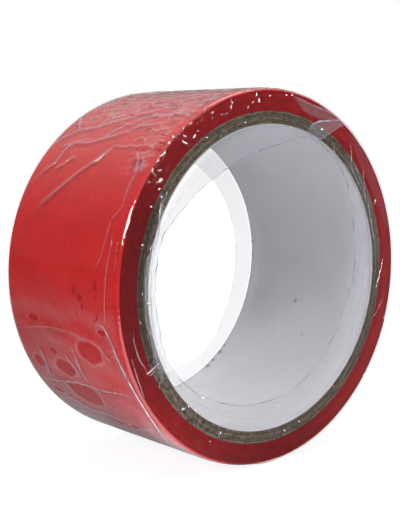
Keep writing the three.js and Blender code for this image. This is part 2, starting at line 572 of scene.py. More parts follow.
def make_winding():
    """The turns under the last one, whose cut edges stand a hair in or out of line on each side."""
    inner = CORE_OUTER + CORE_GAP
    outer = TAPE_OUTER - 2 * TAPE_THICKNESS - LAP_GAP
    pitch = (outer - inner) / (TURNS - 1)
    face = TAPE_HALF - TAPE_SIDE_GAP
    corner = TAPE_ROUND - TAPE_THICKNESS - 0.02
    start_round = outer - corner
    rng = np.random.default_rng(5)
    front = []
    for turn in range(TURNS - 1):
        shift = rng.uniform(-0.02, 0.02)
        for share, drop in ((0, 0.035), (0.3, shift), (0.8, shift)):
            radius = inner + (turn + share) * pitch
            past = max(radius - start_round, 0) / corner
            under = (TAPE_ROUND - corner) * step_up(radius, start_round - 0.8, start_round)
            front.append((radius, -(face - drop - under - corner * (1 - math.sqrt(1 - min(past, 1) ** 2)))))
    back = [(r, -y) for r, y in reversed(front)]
    rim_half = face - TAPE_ROUND
    rim = [(outer, y) for y in np.linspace(-rim_half, rim_half, 24)]
    bore = [(inner, y) for y in np.linspace(TAPE_HALF - 0.2, -TAPE_HALF + 0.2, 4)]

    def relief(angle, radius, along):
        share = (radius - inner) / (outer - inner)
        radius = radius + share * TAPE_THICKNESS * spiral_rise(angle)
        wave = 0.05 * noise(angle / 12, radius * 0.8, 21, 30) + 0.02 * noise(angle / 3, radius * 4, 22, 120)
        return radius, sunk(along, rim_half + 0.3, rim_half + 0.8, wave + 0.05)

    return ring_of_profile("wound_tape", front + rim + back + bore, WINDING_COLUMNS, relief, edge_painted_shade)


def lap_surface(corner, flat):
    """(rise, along) points over one face of the last turn, from one curled edge to the other."""
    curl = np.radians(np.linspace(0, TAPE_CURL, 7)[1:])
    edge = [(TAPE_THICKNESS - TAPE_ROUND + corner * math.cos(t), flat + corner * math.sin(t)) for t in curl]
    top = TAPE_THICKNESS - TAPE_ROUND + corner
    middle = [(top, y) for y in np.linspace(-flat, flat, 24)]
    return [(rise, -y) for rise, y in reversed(edge)] + middle + edge


def make_last_lap():
    """The last turn: a strip that starts against the winding's step and ends on top of its own start."""
    angle = np.linspace(FREE_END + 0.4, FREE_END + 360, LAP_COLUMNS)
    under = TAPE_OUTER - 2 * TAPE_THICKNESS - LAP_MARGIN + TAPE_THICKNESS * (angle - FREE_END) / 360
    flat = TAPE_HALF - TAPE_SIDE_GAP - TAPE_ROUND
    section = lap_surface(TAPE_ROUND, flat) + lap_surface(TAPE_ROUND - TAPE_THICKNESS, flat)[::-1]
    count = len(section)
    points = np.stack([polar(angle, under + rise, y) for rise, y in section], axis=1)
    lap = mesh_piece("last_lap", [(points, False, True, {})])
    starts = (0, (LAP_COLUMNS - 1) * count)
    pairs = [(start + k, start + count - 1 - k) for start in starts for k in range(count // 2 - 1)]
    add_faces(lap, [(low, low + 1, high - 1, high) for low, high in pairs])
    return lap


def make_tape():
    place(make_winding(), tape_edge_material(), "tape", "tape_winding")
    place(make_last_lap(), tape_material(), "tape", "tape_last_turn")


# ---- the shrink film

FILM_GAP = 0.03  # between the tape and the film that lies on it
CAD_MARGIN = 0.01  # the film keeps this far inside the CAD's film
RIM_BASE, RIM_TOP = TAPE_OUTER + FILM_GAP, FILM_OUTER - CAD_MARGIN
FACE_BASE, FACE_TOP = TAPE_HALF + FILM_GAP, FILM_HALF - CAD_MARGIN
BEND_IN, BEND_BACK = 0.52, 0.98  # the bend over the tape's edge, in from the rim and back from the face
RIM_DEGREE = math.pi / 180 * FILM_OUTER  # the length of one degree on the rim
HEM_SIDES = 6  # of the cord that the free edge is rolled into

# The film's free edge inside each end of the bore, as (angle, radius)
FRONT_LIP = [
    (0, 31.5), (20, 33.4), (40, 36.6), (56, 37.6), (70, 37.2), (85, 33.3), (100, 31.8), (116, 31),
    (130, 31.6), (146, 33.3), (160, 35.6), (175, 35.7), (190, 35.6), (205, 36.2), (225, 34.8), (242, 33),
    (262, 31.6), (284, 30.9), (308, 29.8), (332, 29.6),
]
REAR_LIP = [
    (0, 31), (40, 31), (80, 31.5), (120, 32), (160, 31), (200, 31.8), (250, 32.6), (290, 33.2), (302, 33.6),
    (316, 33), (335, 31.4),
]

# Patches where the film clings to the tape: (angle, along, half angle, half length)
PATCHES = [
    (198.5, -9.6, 3.9, 5), (206.8, 4.6, 3, 4.8), (216.5, 2, 4.8, 6.6), (207, 16.8, 2.3, 2.3),
    (191.3, 12.4, 1.3, 2.8), (201.3, 7.5, 1.2, 1.5), (191, -16.8, 1, 1.9), (219, 16, 1.5, 2.2),
    (180.4, -6.6, 1.5, 1), (182, -9, 1.2, 1.3), (184.6, -9.8, 0.9, 0.7), (186.9, -15.6, 0.7, 0.7),
    (187.8, -14.6, 0.5, 0.8), (178, -15.2, 1.6, 0.6), (181, -15.4, 0.5, 0.8), (187.2, -7.4, 0.5, 0.8),
    (228.6, -6, 0.9, 7.5),
]

# Creases on the rim: (height, half width, haze of the crest, [(angle, along), ...])
CREASES = [
    (0.26, 1, 1, [(189.4, -14), (189.1, -17.7), (193, -20), (198.8, -21.2), (205.4, -22.5), (211.3, -22.9),
        (216.7, -22.9), (222.5, -22.3), (229.5, -19.8), (239.4, -15.4)]),
    (0.24, 0.65, 0.7, [(199.4, 14.1), (204.9, 13.7), (212.7, 14.9)]),
    (0.22, 0.5, 0.65, [(197.5, -2.1), (201.2, -2.7), (206.2, -2.6), (210.8, -3.6)]),
    (0.22, 0.5, 0.65, [(201.2, 2.1), (204.9, 0.5), (209.4, -0.7)]),
    (0.22, 0.5, 0.65, [(215.2, 19.3), (213.7, 11.3), (212.4, 3.8), (211.8, -2.9), (212, -8.8),
        (211.1, -15.2), (210.8, -19.9)]),
    (0.24, 0.65, 0.7, [(216.9, 18.5), (217.8, 15.1), (220.9, 14.3), (222.5, 11.6), (224.3, 8.5),
        (225.8, 6.5), (225.1, -0.4), (226, -4.6), (229.4, -7.7), (227.8, -14.7), (224, -19)]),
    (0.14, 0.4, 0.36, [(224.6, 20), (223, 16.8), (222.5, 11.6)]),
    (0.16, 0.45, 0.4, [(195.4, -14.6), (197.7, -16), (199.6, -17.5)]),
    (0.18, 0.45, 0.42, [(211.3, -5.7), (214.7, -5.9), (220, -3.2)]),
    (0.14, 0.5, 0.14, [(195.5, 18), (193.5, 8), (193.2, -2), (194.5, -9), (196.5, -13)]),
    (0.14, 0.35, 0.12, [(158, -17.6), (161.6, -17.7), (164.3, -17.6), (168.5, -17.1), (171.9, -16),
        (174.1, -15)]),
    (0.14, 0.35, 0.18, [(162.7, -19.5), (166.8, -20.1), (173.5, -19.7), (181.4, -19.3), (189.5, -18.6)]),
    (0.1, 0.3, 0.1, [(164.6, -22), (169.7, -22.6), (174, -22.6)]),
    (0.1, 0.3, 0.1, [(153.9, -20.5), (155.7, -20.1), (157.2, -19.2), (159.5, -17.5)]),
    (0.22, 0.65, 0.08, [(158.7, 15.1), (154.3, 10.7), (149.9, 6.4), (145.4, 2.7), (141.7, -1.1),
        (137.8, -3.5), (135.8, -5)]),
    (0.2, 0.6, 0.08, [(150.5, 21.3), (145.9, 18.4), (142.5, 15), (137.4, 14.8), (134.5, 12.7), (134.3, 6.4),
        (133.1, 3.5), (131.2, -1.9), (129.2, -5.2), (128.1, -5.7)]),
    (0.2, 0.6, 0.08, [(138.1, 22.7), (132.5, 20.3), (128.8, 15.4), (127.2, 8.8), (124.1, 4.5),
        (122.1, -0.7), (118.7, -1.2)]),
    (0.17, 0.55, 0.07, [(128.9, 9.7), (126.1, 8.9), (121.6, 8.7), (118.3, 7.1)]),
    (0.17, 0.55, 0.07, [(144.9, 14.7), (143.1, 11.3), (140.9, 9.9), (140, 7.6)]),
    (0.16, 0.55, 0.07, [(142.8, -0.8), (140.7, -2.5), (138.6, -3.7), (136.8, -4.7)]),
    (0.14, 0.35, 0.12, [(135.2, -3.8), (135.5, -6.8), (135.7, -9.6), (135, -11.3), (135.5, -13.8),
        (134.6, -15.7)]),
    (0.12, 0.3, 0.14, [(134.4, -10.8), (133, -11), (132.3, -12.2), (131.9, -13.2), (132.3, -15),
        (133.5, -15.3), (134.1, -14.5)]),
    (0.12, 0.3, 0.12, [(130.9, -14.5), (129.4, -14.2), (128.3, -14.2), (129.4, -16.3)]),
    (0.12, 0.3, 0.12, [(129.9, -15.9), (128.4, -18), (128, -20.1)]),
    (0.12, 0.3, 0.12, [(133.3, -17.2), (132.8, -20.6), (133.7, -22.6)]),
    (0.16, 0.45, 0.12, [(137.2, -15.1), (140.5, -17.9), (145.4, -19.8), (149.7, -19.8), (155.3, -20.2)]),
    (0.16, 0.55, 0.07, [(139.3, -18.7), (141.2, -20.5), (145.3, -21.9)]),
    (0.14, 0.4, 0.12, [(120.7, 22.6), (123.7, 20.6), (127, 17.6), (129.9, 14.3)]),
    (0.16, 0.55, 0.07, [(132.6, 2), (129.1, 0.4), (126.4, -1.9), (125.3, -4.6)]),
    (0.16, 0.55, 0.07, [(136.5, 18), (133.6, 11), (132.6, 7.4)]),
    (0.16, 0.55, 0.07, [(129.2, -5.2), (126.5, -8.2), (126.2, -12), (124.8, -15.5)]),
    (0.16, 0.55, 0.07, [(124.8, -3), (122, -7), (121.5, -11), (119.8, -14)]),
    (0.16, 0.55, 0.07, [(122.5, -12.5), (120.4, -16), (120.8, -19), (119, -21.5)]),
    (0.2, 0.6, 0.16, [(52.5, -21.5), (46, -18), (42.5, -12.5), (36, -9), (31.5, -3.5)]),
    (0.18, 0.5, 0.14, [(58, -9), (52, -5.5), (49.5, 0.5), (44.5, 3)]),
    (0.2, 0.6, 0.16, [(60, 21.5), (53.5, 17.5), (50, 12), (43, 9.5), (38.5, 10.5)]),
    (0.16, 0.45, 0.14, [(27, 22), (21, 17), (19.5, 10), (14, 5.5), (12.5, -1)]),
    (0.16, 0.45, 0.14, [(14, -22), (9, -17.5), (8, -12), (2.5, -8.5)]),
    (0.2, 0.55, 0.3, [(352, 20.5), (346.5, 15), (345, 8), (339, 3.5), (337.5, -4)]),
    (0.2, 0.55, 0.3, [(341, -19.5), (334, -15), (329.5, -8.5), (328, -1), (322, 4.5)]),
    (0.18, 0.45, 0.25, [(322, 19.5), (316.5, 15.5), (314, 9), (308, 5)]),
    (0.18, 0.45, 0.25, [(316, -20), (309.5, -15.5), (306, -8), (299, -3.5)]),
]

# Folds gathered on the front face and its lip: (height, half width, haze, [(angle, radius), ...])
FRONT_FOLDS = [
    (0.26, 0.2, 0.42, [(146.5, 41.3), (150, 39.9), (154.5, 39.1), (158.5, 38.2), (162.5, 38.7), (168, 39.3),
        (173.5, 39.7)]),
    (0.22, 0.16, 0.42, [(172, 39.6), (177, 39), (182.5, 39.4), (189, 39.5), (196, 39.1), (202, 39.8),
        (205, 40.1)]),
    (0.3, 0.22, 0.42, [(143.5, 40.4), (146, 39.8), (150, 39.4), (153, 38.6), (157, 38), (162, 37.5),
        (166, 37.8)]),
    (0.24, 0.16, 0.42, [(160, 37.6), (165.5, 37.9), (169, 38), (171, 38.5), (174.5, 38.7), (180, 38.3)]),
    (0.3, 0.2, 0.42, [(173.5, 37.5), (178, 37.7), (183, 37.3), (187, 37.6), (192, 37.4), (197, 37.7),
        (202, 37.5)]),
    (0.24, 0.16, 0.42, [(200, 37.6), (208, 37.7), (214, 38.3), (218, 38.1), (224, 37.4)]),
    (0.2, 0.14, 0.42, [(176, 38.4), (184, 38.6), (192, 38.3), (200, 38.7), (206, 38.5)]),
    (0.3, 0.38, 0.7, [(205.3, 43.2), (205.3, 41.4), (204.6, 39.2), (205.8, 38.3)]),
    (0.28, 0.26, 0.6, [(206.4, 42.8), (206.3, 41), (205.8, 39.4), (207.5, 38)]),
    (0.28, 0.26, 0.32, [(190.5, 43.3), (194, 43.8), (199, 43.6), (203, 43), (206, 42.9)]),
    (0.22, 0.24, 0.3, [(198, 45.5), (202, 45.6), (207, 45.9), (211.5, 46.3)]),
    (0.22, 0.14, 0.2, [(210, 39.2), (211, 41.1), (212.5, 42.1)]),
    (0.24, 0.14, 0.2, [(165.2, 43.6), (165.4, 41.7), (165.6, 39.4)]),
    (0.3, 0.34, 0.2, [(184.4, 38.8), (183.4, 38.2), (182.5, 37.4)]),
    (0.3, 0.3, 0.2, [(224.4, 40.2), (225.6, 39.2), (226.4, 38.2), (229.5, 37.6)]),
    (0.28, 0.4, 0.8, [(71.5, 39.4), (67.5, 42), (62, 44.3), (57.5, 46.7)]),
    (0.26, 0.3, 0.55, [(57, 46.7), (53.6, 46.6), (49, 46.2)]),
    (0.26, 0.28, 0.55, [(81.5, 45.8), (73, 45.2), (64, 45.9), (58, 46.7)]),
    (0.22, 0.18, 0.22, [(75, 42.8), (67, 42.9), (61, 44.7)]),
    (0.22, 0.18, 0.34, [(72, 38.6), (65, 37.9), (59.5, 42.1), (57, 46.2)]),
    (0.26, 0.3, 0.6, [(56.2, 40.6), (55, 38.7), (51.6, 37.8), (45.5, 38.5)]),
    (0.26, 0.3, 0.6, [(50.3, 44.1), (46.7, 42.1), (42.9, 39.6), (37.4, 39.1), (31.4, 39.3)]),
    (0.24, 0.26, 0.5, [(39.4, 43.3), (34.9, 41.3), (27.7, 39.3)]),
    (0.28, 0.34, 0.7, [(25.2, 43.2), (23.6, 41.6)]),
    (0.2, 0.2, 0.26, [(51.4, 46), (40.2, 46.2)]),
    (0.24, 0.22, 0.3, [(144.5, 44.4), (142.4, 42.7)]),
    (0.22, 0.22, 0.3, [(15, 36), (5, 33.5), (352, 32.3), (338, 32.5)]),
    (0.22, 0.22, 0.3, [(12, 37.5), (358, 35.2), (340, 34.6), (318, 36.5)]),
    (0.2, 0.18, 0.26, [(216, 36.8), (232, 36.2), (250, 34.6), (268, 33.6), (282, 33.2)]),
    (0.2, 0.18, 0.26, [(226, 37.2), (244, 35.8), (262, 35), (280, 34.6)]),
    (0.2, 0.16, 0.12, [(120, 35), (136, 35.2), (150, 36.6), (160, 37.4)]),
    (0.26, 0.18, 0.5, [(150, 39.6), (156, 38.4), (161, 37.8), (165, 38.3), (168.5, 38.8)]),
    (0.24, 0.14, 0.45, [(147.5, 40.6), (152, 39.7), (157, 38.8), (163, 38.3), (168, 38.5), (172, 38.9)]),
    (0.26, 0.2, 0.5, [(176, 37.9), (180, 38), (185, 37.7), (190, 38), (196, 38), (201, 37.9), (206, 38.3)]),
    (0.24, 0.14, 0.4, [(171, 38), (174, 38.9), (178, 38.8), (183, 38), (186, 38.4)]),
    (0.24, 0.14, 0.45, [(192, 38.9), (197, 38.6), (201, 39.1), (204.5, 39.4)]),
    (0.26, 0.24, 0.55, [(184.6, 38.7), (183.6, 38.2), (182.8, 37.5)]),
    (0.24, 0.14, 0.35, [(204.8, 43.5), (204.8, 41.9), (205, 40.4), (204.9, 39)]),
    (0.26, 0.16, 0.45, [(31, 41), (24, 39.6), (16, 39), (8, 39.4)]),
    (0.24, 0.14, 0.4, [(44, 41.6), (38, 40.4), (31, 39.9), (25, 39)]),
    (0.24, 0.14, 0.4, [(4, 42.8), (356, 41), (350, 40.2)]),
    (0.24, 0.14, 0.35, [(349, 43.9), (343, 42.1), (338, 40)]),
    (0.28, 0.16, 0.8, [(148, 40.6), (151, 39.7), (155, 38.9), (160, 38.4), (164, 38.8)]),
    (0.28, 0.14, 0.75, [(158, 37.9), (163, 38), (167, 38.4), (172, 38.2), (176, 38.6)]),
    (0.28, 0.16, 0.8, [(172, 37.7), (179, 37.9), (184, 37.6), (190, 37.8), (196, 37.6)]),
    (0.26, 0.14, 0.7, [(186, 38.3), (193, 38.2), (200, 38.3), (207, 38), (212, 38.4)]),
    (0.26, 0.12, 0.7, [(165, 39.2), (171, 39), (177, 39.4), (183, 39)]),
]

# Small dents that glint on the front face: (angle, radius, length, heading), heading 0 lying along the rim
DENTS = [
    (128.8, 43.2, 2, -66), (127.9, 44.8, 0.9, -58), (130.1, 45.8, 1.6, 30), (125.3, 43.2, 1.5, -5),
    (123.2, 43.7, 0.8, -32), (127, 46.7, 0.6, -36), (124.4, 46.2, 1.7, 9), (131.7, 46.7, 1.1, 19),
    (134.3, 46.7, 2.2, 9), (138.4, 46.2, 2.6, -6), (137.2, 46, 1.3, 20), (143.4, 46.3, 1.2, 6),
    (141.5, 44.6, 1.3, -35), (139.3, 43.3, 1.6, 16), (144.3, 44.9, 1.8, -1), (146.5, 45.8, 0.8, 6),
    (144.2, 43.2, 2, -24), (146, 42.2, 0.8, -57), (131.9, 46.9, 1.2, 59), (140.2, 46.3, 1.5, 21),
    (143.5, 45.4, 1, 87), (107.7, 44.3, 1.1, 60), (107, 45.3, 0.9, 80), (100.9, 43.1, 1, 80),
    (98.5, 43.9, 0.7, 10), (95.8, 44.1, 1, 60), (96.8, 45.4, 1.2, 80), (91, 45.1, 0.7, 10),
    (84, 45.6, 0.6, 10), (81.4, 45.9, 0.8, 20), (110.3, 43.3, 0.7, 0), (112.1, 43.6, 0.6, 20),
    (102.8, 39.6, 0.7, 10), (115.3, 39.2, 0.6, 0), (120.9, 40.9, 0.7, 30), (80, 37.9, 0.5, 0),
    (64.6, 40.9, 0.9, 20), (245.3, 40.2, 1.1, 80), (277.5, 40, 0.7, 0), (285.3, 39.6, 0.8, 0),
    (241.9, 42.7, 0.5, 0), (230.2, 38.3, 0.7, 0), (225, 40, 0.9, 70), (226.6, 38.6, 0.8, 60),
    (179.7, 40.1, 0.6, 0), (183.2, 38.4, 1.2, 70), (188.8, 41.2, 0.6, 0), (152.2, 42.3, 0.7, 80),
    (164.2, 41.6, 0.6, 60), (147.8, 40.9, 0.7, 60), (320, 46, 0.6, 0), (307, 38.8, 0.6, 0),
]

# Where the front film stands off in a double layer: (haze, outer line, inner line) of (angle, radius) points
VEILS = [
    (0.13, [(57, 47.1), (64, 46.2), (73, 45.5), (82, 46.2)],
     [(57, 46.4), (61, 44.6), (67, 43), (75, 42.8), (82, 45.8)]),
    (0.2, [(54, 47.1), (57, 47.1), (62, 44.6), (67.5, 42.3), (71, 39.8), (74, 38.6)],
     [(54, 46.9), (56, 45.5), (59.5, 42.1), (63, 38.6), (66, 37.9), (74, 38)]),
    (0.035, [(12, 47.1), (25, 47.1), (40, 47), (54, 47.1)],
     [(12, 44.4), (25, 42.8), (40, 42.3), (54, 45.5)]),
    (0.07, [(2, 41.5), (20, 41.5), (50, 41.5)],
     [(2, 38), (20, 38), (50, 38)]),
    (0.2, [(146, 41.3), (150, 40), (158, 38.6), (166, 39.1), (173, 39.8), (182, 39.4), (196, 39.2),
        (212, 40.2)],
     [(146, 39.9), (150, 39.2), (158, 37.8), (166, 37.4), (173, 37.3), (182, 37.1), (196, 37.4),
        (212, 37.4)]),
]


def lip_radius(side, angle):
    """The radius of the film's free edge: a smooth closed curve through its points."""
    where, value = zip(*(FRONT_LIP if side == FRONT else REAR_LIP))
    count = len(where)
    where = [*where, where[0] + 360]
    turned = (angle - where[0]) % 360 + where[0]
    radius = np.zeros_like(angle)
    for k in range(count):
        inside = (turned >= where[k]) & (turned < where[k + 1])
        t = (turned[inside] - where[k]) / (where[k + 1] - where[k])
        radius[inside] = curve(t, *(value[(k + j) % count] for j in (-1, 0, 1, 2)))
    return radius


def crease_height(angle, along):
    """Height of the creases at each point of the rim: each is a rounded ridge along a bent line."""
    total = np.zeros_like(angle)
    for height, width, _, line in CREASES:
        nearest = np.full_like(angle, 1e9)
        share = np.zeros_like(angle)
        for k, ((a0, y0), (a1, y1)) in enumerate(zip(line, line[1:])):
            du, dv = (a1 - a0) * RIM_DEGREE, y1 - y0
            u, v = (angle - a0) * RIM_DEGREE, along - y0
            t = np.clip((u * du + v * dv) / (du * du + dv * dv), 0, 1)
            off = np.hypot(u - t * du, v - t * dv)
            closer = off < nearest
            nearest = np.where(closer, off, nearest)
            share = np.where(closer, (k + t) / (len(line) - 1), share)
        fade = step_up(share, -0.01, 0.18) * (1 - step_up(share, 0.82, 1.01))
        total = np.maximum(total, height * fade * np.exp(-np.abs(nearest / width) ** 1.5))
    return total


def patch_mask(angle, along):
    """1 where the film clings to the tape in a patch, and 1 on the raised rim round each patch."""
    mask, rim = np.zeros_like(angle), np.zeros_like(angle)
    wobble = 0.16 * noise(angle * RIM_DEGREE / 2.5, along / 2.5, 61)
    for where, y, half_angle, half in PATCHES:
        reach = np.hypot((angle - where) / half_angle, (along - y) / half) + wobble
        mask = np.maximum(mask, 1 - step_up(reach, 0.84, 1.0))
        rim = np.maximum(rim, step_up(reach, 0.92, 1.04) * (1 - step_up(reach, 1.04, 1.30)))
    return mask, rim * (1 - mask)


def rim_sheet(angle, along):
    """The film over the rim: its radius, and its lift, haze and dimming. The dimming is painted shade: a
    shadow beside each crease and short dark streaks where the film is pressed down; the patches where it
    clings are dimmed to a deeper red too.
    """
    veil = zone(angle, 178, 192, 240, 262)
    back = zone(angle, 255, 280, 395, 400) + zone(angle, -1, 0, 66, 92)
    top = zone(angle, 56, 74, 116, 137)
    edge = step_up(-along, 8, 22) * zone(angle, 122, 128, 136, 152)
    rough = np.maximum(top, edge)
    warp = noise(angle / 5, along / 8, 70, 72)
    net = ridged(angle / 3.0 + warp, along / 8 + 0.5 * warp, 71, 120, 1.5)
    fine = ridged(angle / 1.2 - warp, along / 2.4, 72, 300, 1.3)
    groove = ridged(angle / 2.5 - 0.7 * warp, along / 9 + angle / 50, 76, 144, 2.0)
    groove *= step_up(noise(angle / 3, along / 6, 77, 120), -0.15, 0.25)
    broad = noise(angle / 9, along / 11, 73, 40) * 0.5 + 0.5
    long_folds = ridged(angle / 4.5 + 0.6 * warp, along / 15 + angle / 36, 74, 80, 2.2)
    patches, patch_rim = patch_mask(angle, along)
    creases = crease_height(angle % 360, along)
    # painted shadow beside each crease, on its side 0.75 degrees further round
    shadow = np.clip(crease_height((angle - 0.75) % 360, along) * 6 - creases * 3, 0, 1)
    # painted shade: short dark streaks in the rough zones, where the film is also pressed down
    dash = step_up(ridged(angle / 2.25 + 0.8 * warp, along / 7 - angle / 40, 78, 160), 0.60, 0.88)
    dash *= step_up(noise(angle / 3, along / 4, 79, 120), -0.10, 0.20) * rough
    at_bend = step_up(np.abs(along), FACE_BASE - BEND_BACK - 1.2, FACE_BASE - BEND_BACK)
    height = 0.01 + 0.05 * broad
    height += rough * (0.19 * net + 0.03 * fine + 0.10 * (1 - groove))
    height += back * (0.12 * long_folds + 0.06 * net * broad)
    height += veil * (0.12 + 0.04 * noise(angle / 6, along / 7, 75, 60))
    height = height * (1 - 0.9 * dash) + creases + 0.06 * patch_rim
    height = (height * (1 - patches) + 0.01 * patches) * (1 - 0.75 * at_bend)
    height += zone(angle, 264, 268.5, 271.5, 276) * (RIM_TOP - RIM_BASE)  # down to the floor
    lift = np.clip(0.25 + veil + 0.5 * back, 0, 1) * (1 - 0.6 * top)
    lift = np.clip(lift + rough * step_up(height, 0.10, 0.22) + creases * 4, 0, 1)
    lift = lift * (1 - patches) * (1 - dash)
    clouding = np.clip(0.5 + 0.9 * noise(angle / 5, along / 9 + angle / 30, 80, 72), 0, 1.2)
    streak = 0.02 + 0.06 * zone(angle, 112, 122, 162, 176)
    haze = 0.002 + 0.065 * veil * clouding + streak * np.clip(creases * 4, 0, 1) + 0.01 * back
    haze = haze + 0.07 * patch_rim * veil + 0.20 * rough * step_up(net, 0.72, 1.0) * (1 - dash)
    haze = haze * (1 - patches) * (1 - 0.8 * at_bend)
    # painted shadow and shade darken what shows through the film here; the clinging patches are dimmed as
    # well
    dimming = np.clip(0.55 * shadow + 0.9 * dash, 0, 1) * (1 - patches) + (0.50 - 0.20 * veil) * patches
    return np.clip(RIM_BASE + height, RIM_BASE, RIM_TOP), lift, haze, dimming


def between(angle, radius, outer, inner):
    """1 between two lines of (angle, radius) points, with soft edges."""
    turned = angle % 360
    high, low = (np.interp(turned, *zip(*line)) for line in (outer, inner))
    start, end = outer[0][0], outer[-1][0]
    inside = step_up(high - radius, -0.1, 0.3) * step_up(radius - low, -0.1, 0.3)
    return inside * step_up(turned, start, start + 3) * (1 - step_up(turned, end - 5, end))


def face_sheet(side, angle, radius):
    """The film over one end of the roll: its place along the axis, and its lift, haze and tint."""
    front = side == FRONT
    seed = 100 if front else 200
    lip = lip_radius(side, angle)
    sag = np.clip((BORE - radius) / (BORE - lip), 0, 1)
    over_core = step_up(radius, BORE - 0.3, BORE + 0.3) * (1 - step_up(radius, CORE_OUTER, CORE_OUTER + 0.6))
    outer = step_up(radius, CORE_OUTER + 0.3, CORE_OUTER + 1.6)
    warp = noise(angle / 6, radius / 3, seed + 1, 60)
    net = ridged(angle / 3 + warp, radius / 2.6 + angle / 15, seed + 2, 120, 2.0)
    facets = crumple(angle / 1.6, radius * 0.85, seed + 5)
    cluster = zone(angle, 108, 122, 146, 152) if front else zone(angle, 20, 40, 70, 95)
    veil = np.zeros_like(angle)
    if front:
        for strength, high, low in VEILS:
            veil = np.maximum(veil, strength * between(angle, radius, high, low))
    height = 0.03 + 0.10 * net * (0.4 + 0.6 * outer) + cluster * outer * 0.28 * facets
    height = height + 0.3 * veil + 0.05 * veil / 0.3 * noise(angle / 1.5, radius * 1.2, seed + 6, 240)
    drop = sag * (0.8 + 0.5 * noise(angle / 24, angle * 0 + seed, seed + 7, 15))
    drop = drop + sag * 0.30 * noise(angle / 6, radius / 4, seed + 8, 60)
    drop = drop + step_up(sag, 0.7, 1.0) * 0.35 * noise(angle / 4, angle * 0 + 2, seed + 9, 90)
    along = np.clip(FACE_BASE + height, FACE_BASE, FACE_TOP) - drop
    lift = np.clip(0.2 + 0.7 * over_core + sag * 3 + veil * 3, 0, 1)
    loose = np.clip(sag * (4 if front else 25), 0, 1)
    haze = 0.002 + veil + (0.24 if front else 0.16) * loose
    if front:
        # painted sheen: the front film a little hazier towards the right
        haze = haze + 0.025 * outer * np.clip(np.cos(np.radians(angle)), 0, 1)
    return side * along, lift, haze, (0.0 if front else 0.10) * loose


def skin(angle, radius, along, looks, close_rows=False, close_columns=True):
    """A grid of film for mesh_piece, with its (lift, haze, tint)."""
    return polar(angle, radius, along), close_rows, close_columns, dict(zip(("lift", "haze", "edge"), looks))


def end_grid(side, columns, lip_rows, face_rows, bend_rows):
    """The film from its free edge in the bore, over one end face and round the bend to the rim."""
    circle = ring_of_angles(columns)
    lip = lip_radius(side, circle)
    inner = lip + (BORE - lip) * np.linspace(0, 1, lip_rows, endpoint=False)[:, None]
    outer = np.linspace(BORE, RIM_BASE - BEND_IN, face_rows)[:, None].repeat(columns, 1)
    radius = np.concatenate([inner, outer])
    along, lift, haze, dimming = face_sheet(side, circle.repeat(len(radius), 0), radius)
    edge_along = np.full_like(circle, side * (FACE_BASE - BEND_BACK))
    rim_radius, rim_lift, rim_haze, rim_dimming = rim_sheet(circle, edge_along)
    turn = np.linspace(0, math.pi / 2, bend_rows + 1)[1:, None]
    share = turn / (math.pi / 2)
    # Between a rounded bend and a taut chord across the corner, which is flattest on the upper left.
    taut = 0.25 + 0.50 * zone(circle, 149, 158, 160, 171)
    bend_radius = radius[-1] + (rim_radius - radius[-1]) * (taut * share + (1 - taut) * np.sin(turn))
    bend_along = along[-1] + (edge_along - along[-1]) * (taut * share + (1 - taut) * (1 - np.cos(turn)))
    if side == FRONT:
        dip = 0.16 * crumple(circle / 1.6, turn * 1.4, 105)
        dip = dip * zone(circle, 112, 122, 144, 150) * np.sin(2 * turn)
        bend_radius = bend_radius - dip * np.sin(turn)
        bend_along = bend_along + dip * np.cos(turn)
    radius = np.concatenate([radius, bend_radius])
    along = np.concatenate([along, bend_along])
    lift = np.concatenate([lift, np.clip(lift[-1] * (1 - share) + np.sin(2 * turn) + rim_lift * share, 0, 1)])
    haze = np.concatenate([haze, haze[-1] * (1 - share) * 0.3 + rim_haze * share])
    # the rim's painted shade carries on round the bend
    dimming = np.concatenate([dimming, rim_dimming * share])
    return skin(circle.repeat(len(radius), 0), radius, along, (lift, haze, dimming))


def rim_grid(rows):
    """The film over the rim, with its closest columns on the side that has the finest creases."""
    start, end = 86, 252
    circle = np.concatenate([np.arange(start, end, 0.33), np.arange(end, 360 + start, 0.9)])[None, :]
    half = FACE_BASE - BEND_BACK
    along = np.linspace(-half, half, rows)[:, None].repeat(circle.size, 1)
    angle = circle.repeat(rows, 0)
    radius, *looks = rim_sheet(angle, along)
    return skin(angle, radius, along, looks)


def smooth_line(points, spacing):
    """Points at about the given spacing on a smooth curve through the given points of a plane."""
    flat = np.array(points, float)
    padded = np.concatenate([[2 * flat[0] - flat[1]], flat, [2 * flat[-1] - flat[-2]]])
    line = []
    for corners in zip(padded, padded[1:], padded[2:], padded[3:]):
        steps = max(int(np.hypot(*(corners[2] - corners[1])) / spacing), 1)
        line += [curve(t, *corners) for t in np.linspace(0, 1, steps, endpoint=False)]
    return np.array(line + [flat[-1]])


def ribbon(points, spacing, width, seed):
    """A narrow strip along a curve: its points in the plane, its rise and its haze, thin at both ends.

    The width is measured from its middle to an edge.
    """
    line = smooth_line(points, spacing)
    heading = np.gradient(line, axis=0)
    heading /= np.hypot(heading[:, 0], heading[:, 1])[:, None]
    across = np.stack([-heading[:, 1], heading[:, 0]], axis=1)
    share = np.linspace(0, 1, len(line))[:, None]
    taper = np.sqrt(np.clip(np.sin(share * math.pi), 0, 1))
    travelled = share * len(line) * spacing
    uneven = 0.75 + 0.5 * noise(travelled / 2.2, travelled * 0 + seed * 3.7, seed)
    offset = np.array([-1.0, -0.6, 0.0, 0.6, 1.0])[None, :] * (width * (0.3 + 0.7 * taper) * uneven)
    flat = line[:, None, :] + across[:, None, :] * offset[..., None]
    rise = taper * np.array([0.0, 0.62, 1.0, 0.62, 0.0])
    cloud = 0.8 + 0.9 * noise(travelled / 1.6, travelled * 0 + seed * 5.3, seed + 1)
    return flat, rise, taper * np.clip(cloud, 0.25, 1.5) * np.array([0.0, 0.7, 1.0, 0.7, 0.0])


